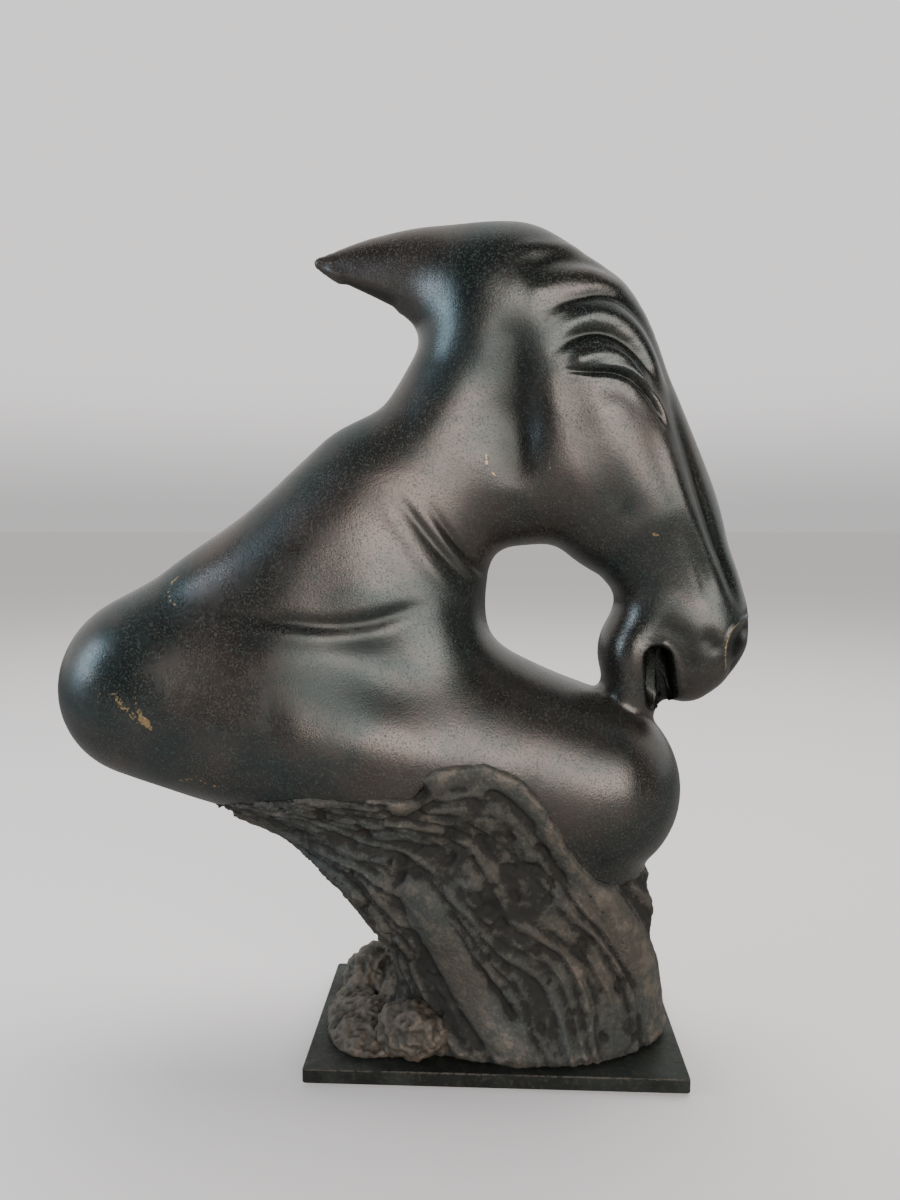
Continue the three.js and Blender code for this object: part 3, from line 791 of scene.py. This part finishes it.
def noiseAt(points, size, shift=0.0):
    return np.array([noise.noise(Vector(place)) for place in points / size + shift])


# Where a point lies in the flow of the rough part: across the guides, and along them in millimetres.
def flowAt(points):
    away, along = [], []
    for line in flowLines:
        distance, side, part = lineDistance(points, line, 4)
        away.append(-distance * side)
        along.append(part * 300)
    across = away[0] / columnSettings["guideSpacing"]
    down = along[0].copy()
    for i in range(len(flowLines) - 1):
        between = (away[i] > 0) & (away[i + 1] <= 0)
        share = away[i] / np.maximum(away[i] - away[i + 1], 1e-3)
        across = np.where(between, i + share, across)
        down = np.where(between, along[i] + share * (along[i + 1] - along[i]), down)
    last = len(flowLines) - 1
    beyond = away[last] > 0
    across = np.where(beyond, last + away[last] / columnSettings["guideSpacing"], across)
    return across, np.where(beyond, along[last], down)


def rolls(phase, swell):
    lane = np.floor(phase)
    size = 0.6 + 0.4 * np.sin(lane * 12.9898 + 1.3) * np.cos(lane * 4.1 + 0.4)
    return np.sin(np.pi * (phase - lane) ** 1.9) ** 0.8 * (size + swell)


def roughHeight(points):
    settings = columnSettings
    across, down = flowAt(points)
    far = (points[:, 1] > 0) * 7.0
    flowing = np.stack([across * 1.8, down / 60, far], axis=1)
    warp = noiseAt(flowing, 1.0, 3.1)
    fineWarp = noiseAt(np.stack([across * 7, down / 20, far], axis=1), 1.0, 8.7)
    swell = 0.5 * noiseAt(np.stack([across * 1.3, down / 30, far], axis=1), 1.0, 5.5)
    big = rolls(across * settings["rollsPerGuide"] + 1.5 * warp + 0.25 * fineWarp, swell)
    fine = rolls(across * settings["rollsPerGuide"] * 3.1 + 2.4 * warp + 0.9 * fineWarp + 0.35, swell)
    lumps = noiseAt(points, 15, 1.7)
    grit = noiseAt(points, 4.2, 9.2) + 0.5 * noiseAt(points, 2.1, 4.4)
    holes = smoothStep(noiseAt(points, 9, 21.5), 0.33, 0.52)
    height = settings["rollHeight"] * big + settings["fineHeight"] * fine + 1.1 * lumps
    height = height + settings["crumbs"] * grit - settings["pits"] * holes
    bands = ((strapLine, "strapHalf", "strapHeight"), (broadFold, "foldHalf", "foldHeight"))
    for line, half, top in bands:
        distance = lineDistance(points, line)[0]
        near = 1 - smoothStep(distance, settings[half] * 0.8, settings[half] * 1.15)
        crown = settings[top] * np.sqrt(np.maximum(1 - (distance / settings[half]) ** 2 * 0.75, 0.05))
        smooth = crown + 0.35 * grit + 0.8 * lumps
        height = height * (1 - near) + smooth * near
        beside = np.exp(-(((distance - settings[half] * 1.25) / 2.2) ** 2))
        height = height - 2.2 * beside
    for x, z, radius in (knot, *columnPits):
        distance = np.hypot(points[:, 0] - x, points[:, 2] - z)
        pit = radius * np.exp(-((distance / radius) ** 2)) * (points[:, 1] < 0)
        height = height - settings["pitDepth"] * pit
    return height


# Where the rough part is kept: under three planes a little above its edge.
columnCuts = [((-240, 200), (-0.17, 1)), ((0, 236), (0, 1)), ((0, 242), (0.55, 0.84))]


def makeColumn(coarse):
    settings = columnSettings
    bm = bmesh.new()
    bm.from_mesh(coarse)
    for place, facing in columnCuts:
        bisect(bm, place, facing)
    mesh = evened(meshFrom(bm, "column"), settings["voxel"])
    settle(mesh, underpart, 2, deepest=1.8)
    points, out = pointsOf(mesh), normalsOf(mesh)
    height = np.clip(roughHeight(points) - 1.0, settings["lowest"], settings["highest"])
    clods = 1 - 2 * np.abs(noiseAt(points, 10, 14.2)) + 0.6 * noiseAt(points, 4.5, 3.3)
    foot = np.exp(-np.maximum(points[:, 2] - plateTop, 0) / settings["footReach"])
    height = height * (1 - 0.5 * foot) + foot * (1.5 + settings["clods"] * clods)
    depth = roughDepth(points) + 3.5 * noiseAt(points, 13, 2.2)
    shown = smoothStep(depth, -1.5, 2.5) * smoothStep(points[:, 0], *settings["tip"])
    cut = underpart(points) < -settings["cutDepth"]
    tucked = (shown < 0.5) & ~cut
    out[tucked] = slopeOf(underpart, points[tucked])
    low = 1 - smoothStep(points[:, 2], plateTop + 1, plateTop + 7)
    out[:, 2] *= 1 - low
    out = out / np.maximum(np.linalg.norm(out, axis=1), 0.35)[:, None]
    lift = (height * (1 - 0.6 * low) * shown - settings["tuck"] * (1 - shown)) * ~cut
    moved = points + out * lift[:, None]
    moved[:, 2] = np.maximum(moved[:, 2], plateTop)
    setPoints(mesh, moved)
    # The height of the rough surface: the rough bronze turns it into painted shade in the recesses and
    # painted highlight on the crests, as well as roughness.
    setAttribute(mesh, "ridge", np.clip((height + 1) / 7, 0, 1))
    shadeSmooth(mesh)
    return mesh


# ---- The ground on the plate ----

groundSettings = {
    "voxel": 1.2,
    "clods": 3.0,
    "crumbs": 2.3,
    "grit": 1.0,
}


def makeGround(node, seed):
    mesh = skinOf([node], groundSettings["voxel"])
    points, out = pointsOf(mesh), normalsOf(mesh)
    clods = noiseAt(points, 17, seed)
    folds = 1 - 2 * np.abs(noiseAt(points * (1, 1.6, 1), 11, seed + 4))
    grit = noiseAt(points, 4, seed + 9) + 0.6 * noiseAt(points, 1.9, seed + 13)
    chips = 1 - 2 * np.abs(noiseAt(points, 5.5, seed + 6))
    height = groundSettings["clods"] * clods + groundSettings["crumbs"] * (folds + 0.7 * chips)
    height = height + groundSettings["grit"] * grit
    free = smoothStep(points[:, 2], plateTop + 0.5, plateTop + 4)
    moved = points + out * (height * free)[:, None]
    moved[:, 2] = np.maximum(moved[:, 2], plateTop)
    setPoints(mesh, moved)
    # The height of the ground: the ground bronze turns it into painted shade in the recesses and painted
    # highlight on the crests, as well as roughness.
    setAttribute(mesh, "ridge", np.clip((height + 2.5) / 6, 0, 1))
    shadeSmooth(mesh)
    return mesh


# ---- Shared effects ----


def newGroup(name, inputs, outputs):
    group = bpy.data.node_groups.new(name, "ShaderNodeTree")
    for socket, kind, value in inputs:
        made = group.interface.new_socket(socket, in_out="INPUT", socket_type=kind)
        made.default_value = value
    for socket, kind in outputs:
        group.interface.new_socket(socket, in_out="OUTPUT", socket_type=kind)
    return group, group.nodes.new("NodeGroupInput"), group.nodes.new("NodeGroupOutput")


number, colour = "NodeSocketFloat", "NodeSocketColor"


# Adds a node: its plain values by property or by input name, and links into it by input name.
def addNode(tree, kind, props=None, links=None, **values):
    node = tree.nodes.new(kind)
    for key, value in (props or {}).items():
        setattr(node, key, value)
    for key, value in values.items():
        node.inputs[key.replace("_", " ")].default_value = value
    for key, source in (links or {}).items():
        tree.links.new(source, node.inputs[key])
    return node


def placeOn(tree):
    return tree.nodes.new("ShaderNodeTexCoord").outputs["Object"]


def noiseNode(tree, place, size, detail=4.0, rough=0.55, warp=0.0):
    node = addNode(tree, "ShaderNodeTexNoise", links={"Vector": place}, Detail=detail, Roughness=rough,
                   Distortion=warp)
    if isinstance(size, bpy.types.NodeSocket):
        tree.links.new(size, node.inputs["Scale"])
    else:
        node.inputs["Scale"].default_value = size
    return node.outputs["Fac"]


def spread(tree, value, low, high, toLow=0.0, toHigh=1.0):
    node = addNode(tree, "ShaderNodeMapRange", {"interpolation_type": "SMOOTHSTEP"}, {"Value": value})
    for key, limit in (("From Min", low), ("From Max", high), ("To Min", toLow), ("To Max", toHigh)):
        if isinstance(limit, bpy.types.NodeSocket):
            tree.links.new(limit, node.inputs[key])
        else:
            node.inputs[key].default_value = limit
    return node.outputs["Result"]


def sumOf(tree, operation, first, second):
    node = addNode(tree, "ShaderNodeMath", {"operation": operation})
    for slot, value in enumerate((first, second)):
        if isinstance(value, bpy.types.NodeSocket):
            tree.links.new(value, node.inputs[slot])
        else:
            node.inputs[slot].default_value = value
    return node.outputs[0]


def mixed(tree, amount, first, second):
    node = addNode(tree, "ShaderNodeMix", {"data_type": "RGBA"})
    for key, value in ((0, amount), (6, first), (7, second)):
        if isinstance(value, bpy.types.NodeSocket):
            tree.links.new(value, node.inputs[key])
        else:
            node.inputs[key].default_value = value if key == 0 else (*value, 1)
    return node.outputs[2]


# Patina that has gone on in layers: clouds of two tones with fine speckle and pinholes.
def makePatinaGroup():
    group, given, out = newGroup("patina", [("Ground", colour, (0.03, 0.03, 0.03, 1)),
                                            ("Bloom", colour, (0.03, 0.06, 0.05, 1)),
                                            ("Speck", colour, (0.1, 0.14, 0.12, 1)),
                                            ("Cloud Scale", number, 9.0), ("Speck Scale", number, 600.0),
                                            ("Speck Amount", number, 0.5)],
                                 [("Color", colour), ("Speckle", number), ("Height", number)])
    place = placeOn(group)
    cloud = spread(group, noiseNode(group, place, given.outputs["Cloud Scale"], 6, 0.6, 0.6), 0.40, 0.62)
    fine = noiseNode(group, place, given.outputs["Speck Scale"], 3, 0.7)
    patchy = spread(group, noiseNode(group, place, 40, 5, 0.65), 0.3, 0.7)
    patchy = sumOf(group, "ADD", sumOf(group, "MULTIPLY", patchy, 0.5), 0.5)
    speckle = sumOf(group, "MULTIPLY", spread(group, fine, 0.50, 0.66), patchy)
    speckle = sumOf(group, "MULTIPLY", speckle, given.outputs["Speck Amount"])
    base = mixed(group, cloud, given.outputs["Ground"], given.outputs["Bloom"])
    group.links.new(mixed(group, speckle, base, given.outputs["Speck"]), out.inputs["Color"])
    group.links.new(speckle, out.inputs["Speckle"])
    grain = sumOf(group, "MULTIPLY", noiseNode(group, place, 210, 4), 0.35)
    group.links.new(sumOf(group, "ADD", fine, grain), out.inputs["Height"])
    return group


# Bare metal showing in small chips where a mask says the surface has been rubbed.
def makeWearGroup():
    group, given, out = newGroup("wear", [("Rubbed", number, 0.0), ("Chip Scale", number, 420.0)],
                                 [("Worn", number)])
    place = placeOn(group)
    chips = noiseNode(group, place, given.outputs["Chip Scale"], 5, 0.7, 0.4)
    limit = sumOf(group, "SUBTRACT", 0.86, sumOf(group, "MULTIPLY", given.outputs["Rubbed"], 0.47))
    worn = spread(group, sumOf(group, "SUBTRACT", chips, limit), 0.0, 0.05)
    group.links.new(worn, out.inputs["Worn"])
    return group


# How near a point is to the edges of a box centred on the object's origin, in metres.
def makeBoxEdgeGroup():
    group, given, out = newGroup("boxEdges", [("Half Length", number, 0.13), ("Half Width", number, 0.074),
                                              ("Top", number, 0.0115), ("Reach", number, 0.004)],
                                 [("Edge", number)])
    place = placeOn(group)
    parts = addNode(group, "ShaderNodeSeparateXYZ", links={0: place}).outputs
    near = []
    for axis, half in (("X", "Half Length"), ("Y", "Half Width")):
        gap = sumOf(group, "SUBTRACT", given.outputs[half], sumOf(group, "ABSOLUTE", parts[axis], 0))
        near.append(sumOf(group, "DIVIDE", gap, given.outputs["Reach"]))
    top = sumOf(group, "SUBTRACT", given.outputs["Top"], parts["Z"])
    near.append(sumOf(group, "DIVIDE", top, given.outputs["Reach"]))
    pairs = [sumOf(group, "MAXIMUM", near[0], near[1]), sumOf(group, "MAXIMUM", near[0], near[2]),
             sumOf(group, "MAXIMUM", near[1], near[2])]
    nearest = sumOf(group, "MINIMUM", sumOf(group, "MINIMUM", pairs[0], pairs[1]), pairs[2])
    group.links.new(spread(group, nearest, 0.0, 1.0, 1.0, 0.0), out.inputs["Edge"])
    return group


patinaGroup, wearGroup, boxEdgeGroup = makePatinaGroup(), makeWearGroup(), makeBoxEdgeGroup()


def newMaterial(name, **values):
    material = bpy.data.materials.new(name)
    material.use_nodes = True
    shader = material.node_tree.nodes["Principled BSDF"]
    for key, value in values.items():
        shader.inputs[key.replace("_", " ")].default_value = value
    return material, material.node_tree, shader


def useGroup(tree, group, links=None, **values):
    node = tree.nodes.new("ShaderNodeGroup")
    node.node_tree = group
    for key, value in values.items():
        value = (*value, 1) if isinstance(value, tuple) else value
        node.inputs[key.replace("_", " ")].default_value = value
    for key, source in (links or {}).items():
        tree.links.new(source, node.inputs[key])
    return node.outputs


def attributeOf(tree, name):
    return addNode(tree, "ShaderNodeAttribute", {"attribute_name": name}).outputs["Fac"]


def addBump(tree, shader, height, strength, distance):
    bump = addNode(tree, "ShaderNodeBump", links={"Height": height}, Strength=strength, Distance=distance)
    tree.links.new(bump.outputs["Normal"], shader.inputs["Normal"])


# ---- Materials ----

bronzeFinish = {
    "ground": (0.145, 0.126, 0.116),
    "bloom": (0.078, 0.092, 0.090),
    "speck": (0.030, 0.080, 0.058),
    # painted shade for the creases and inside the mouth
    "hollow": (0.024, 0.029, 0.026),
    "worn": (0.50, 0.37, 0.19),
    "roughness": (0.23, 0.34),
}


def makeSmoothBronze():
    material, tree, shader = newMaterial("smoothBronze")
    shader.inputs["Specular IOR Level"].default_value = 0.5
    place = placeOn(tree)
    patina = useGroup(tree, patinaGroup, Ground=bronzeFinish["ground"], Bloom=bronzeFinish["bloom"],
                      Speck=bronzeFinish["speck"], Cloud_Scale=7.0, Speck_Scale=720.0, Speck_Amount=0.7)
    # painted shade darkens the creases and the inside of the mouth
    patinaWithShade = mixed(tree, attributeOf(tree, "hollow"), patina["Color"], bronzeFinish["hollow"])
    worn = useGroup(tree, wearGroup, {"Rubbed": attributeOf(tree, "scuff")}, Chip_Scale=380.0)["Worn"]
    tree.links.new(mixed(tree, worn, patinaWithShade, bronzeFinish["worn"]), shader.inputs["Base Color"])
    tree.links.new(spread(tree, patina["Speckle"], 0, 0.5, 0.85, 0.15), shader.inputs["Metallic"])
    low, high = bronzeFinish["roughness"]
    dull = spread(tree, noiseNode(tree, place, 14, 5, 0.6), 0.35, 0.65, low, high)
    dull = sumOf(tree, "ADD", dull, sumOf(tree, "MULTIPLY", patina["Speckle"], 0.12))
    dull = sumOf(tree, "ADD", dull, sumOf(tree, "MULTIPLY", worn, 0.1))
    tree.links.new(dull, shader.inputs["Roughness"])
    addBump(tree, shader, patina["Height"], 0.27, 0.0006)
    return material


# Colours of the rough bronze: low is painted shade in the recesses, and high is both the patina's speck
# colour and a painted highlight on the crests.
roughFinish = {
    "low": (0.036, 0.037, 0.033),
    "middle": (0.096, 0.092, 0.078),
    "high": (0.210, 0.185, 0.148),
    "bloom": (0.070, 0.082, 0.076),
}


def makeRoughBronze(name, brown):
    material, tree, shader = newMaterial(name, Metallic=0.35)
    place = placeOn(tree)
    patina = useGroup(tree, patinaGroup, Ground=roughFinish["middle"], Bloom=roughFinish["bloom"],
                      Speck=roughFinish["high"], Cloud_Scale=16.0, Speck_Scale=450.0, Speck_Amount=0.5)
    ridge = attributeOf(tree, "ridge")
    ragged = spread(tree, noiseNode(tree, place, 90, 5, 0.7), 0.3, 0.7, -0.22, 0.22)
    broken = sumOf(tree, "ADD", ridge, ragged)
    # Painted shade and highlight: the rough surface is painted darker in its recesses and lighter on its
    # crests, after its ridge height.
    deep = mixed(tree, spread(tree, broken, 0.10, 0.42), roughFinish["low"], patina["Color"])
    crestHighlighted = mixed(tree, spread(tree, broken, 0.62, 1.0, 0.0, 0.75), deep, roughFinish["high"])
    tree.links.new(mixed(tree, brown, crestHighlighted, (0.085, 0.062, 0.040)), shader.inputs["Base Color"])
    tree.links.new(spread(tree, broken, 0.2, 0.95, 0.78, 0.46), shader.inputs["Roughness"])
    rough = sumOf(tree, "ADD", patina["Height"], noiseNode(tree, place, 260, 6, 0.75))
    addBump(tree, shader, rough, 0.55, 0.0012)
    return material


def makePlateSteel():
    material, tree, shader = newMaterial("plateSteel", Metallic=0.55)
    place = placeOn(tree)
    patina = useGroup(tree, patinaGroup, Ground=(0.030, 0.034, 0.031), Bloom=(0.050, 0.062, 0.054),
                      Speck=(0.15, 0.14, 0.10), Cloud_Scale=22.0, Speck_Scale=300.0, Speck_Amount=0.35)
    edge = useGroup(tree, boxEdgeGroup, Reach=0.0022)["Edge"]
    worn = useGroup(tree, wearGroup, {"Rubbed": edge}, Chip_Scale=240.0)["Worn"]
    tree.links.new(mixed(tree, worn, patina["Color"], (0.12, 0.11, 0.09)), shader.inputs["Base Color"])
    dull = spread(tree, noiseNode(tree, place, 40, 6, 0.65), 0.3, 0.7, 0.40, 0.62)
    tree.links.new(dull, shader.inputs["Roughness"])
    addBump(tree, shader, patina["Height"], 0.30, 0.0008)
    return material


# Cast metal that nobody has dressed, as inside the castings.
def makeInnerBronze():
    material, tree, shader = newMaterial("innerBronze", Metallic=0.8)
    patina = useGroup(tree, patinaGroup, Ground=(0.20, 0.13, 0.07), Bloom=(0.13, 0.09, 0.055),
                      Speck=(0.07, 0.10, 0.08), Cloud_Scale=40.0, Speck_Scale=350.0, Speck_Amount=0.6)
    tree.links.new(patina["Color"], shader.inputs["Base Color"])
    tree.links.new(spread(tree, patina["Speckle"], 0, 1, 0.42, 0.7), shader.inputs["Roughness"])
    addBump(tree, shader, patina["Height"], 0.35, 0.0008)
    return material


def makeScrewSteel():
    material, tree, shader = newMaterial("screwSteel", Metallic=1.0)
    place = placeOn(tree)
    stain = spread(tree, noiseNode(tree, place, 300, 5, 0.7), 0.4, 0.65)
    tree.links.new(mixed(tree, stain, (0.34, 0.34, 0.33), (0.16, 0.14, 0.12)), shader.inputs["Base Color"])
    tree.links.new(spread(tree, stain, 0, 1, 0.28, 0.5), shader.inputs["Roughness"])
    addBump(tree, shader, noiseNode(tree, place, 900, 3), 0.2, 0.0003)
    return material


def makeFelt():
    material, tree, shader = newMaterial("linerFelt", Roughness=0.95)
    shader.inputs["Sheen Weight"].default_value = 0.4
    place = placeOn(tree)
    fibre = noiseNode(tree, place, 900, 5, 0.8, 1.5)
    patches = spread(tree, noiseNode(tree, place, 60, 4), 0.35, 0.65)
    colours = mixed(tree, patches, (0.016, 0.020, 0.018), (0.026, 0.032, 0.028))
    tree.links.new(colours, shader.inputs["Base Color"])
    addBump(tree, shader, fibre, 0.6, 0.0008)
    return material


materials = {
    "smooth_bronze": makeSmoothBronze(),
    "rough_bronze": makeRoughBronze("roughBronze", 0.0),
    "ground_bronze": makeRoughBronze("groundBronze", 0.30),
    "inner_bronze": makeInnerBronze(),
    "plate_steel": makePlateSteel(),
    "screw_steel": makeScrewSteel(),
    "liner_felt": makeFelt(),
}
print("materials ready")

shownBy = {  # the pins' ends are chased into the skins
    "torso": ["torso_casting"],
    "neck": ["neck_casting", *castNodes("neck_pin")],
    "head": ["head_casting", *castNodes("head_pin")],
    "ear": ["ear_casting"],
}
mouthPlug = mouthBlock(-figureSettings["plug"], figureSettings["plug"])
castings = castNodes("torso_casting", "neck_casting", "head_casting", "ear_casting", "column_casting")
wholeSkin = outermost(skinOf(castings, figureSettings["castVoxel"], [mouthPlug]), wholeFigure)
for name, mesh in divide(makeFigure(wholeSkin)).items():
    addPiece(mesh, name + "Skin", "smooth_bronze", shownBy[name])
print("smooth skins ready")

addPiece(makeColumn(wholeSkin), "columnSkin", "rough_bronze",
         ["column_casting", *castNodes("column_pin")])
for name, seed in (("mound", 2.0), ("rock", 31.0)):
    node = name + "_casting"
    addPiece(makeGround(node, seed), name + "Skin", "ground_bronze", [node])
print("rough skins ready")

innerNodes = castNodes("column_sleeve", "neck_sleeve", "head_sleeve", "column_pin", "neck_pin", "head_pin",
                       "chin_dowel", "ear_dowel", "foot_lug")
finishes = {
    "inner_bronze": innerNodes,
    "plate_steel": ["base_plate"],
    "screw_steel": castNodes("base_screw", "mound_screw", "rock_screw"),
    "liner_felt": ["felt_liner"],
}
for finish, nodes in finishes.items():
    for name in nodes:
        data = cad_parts[name].data
        data.materials.clear()
        data.materials.append(materials[finish])
print("fittings ready")
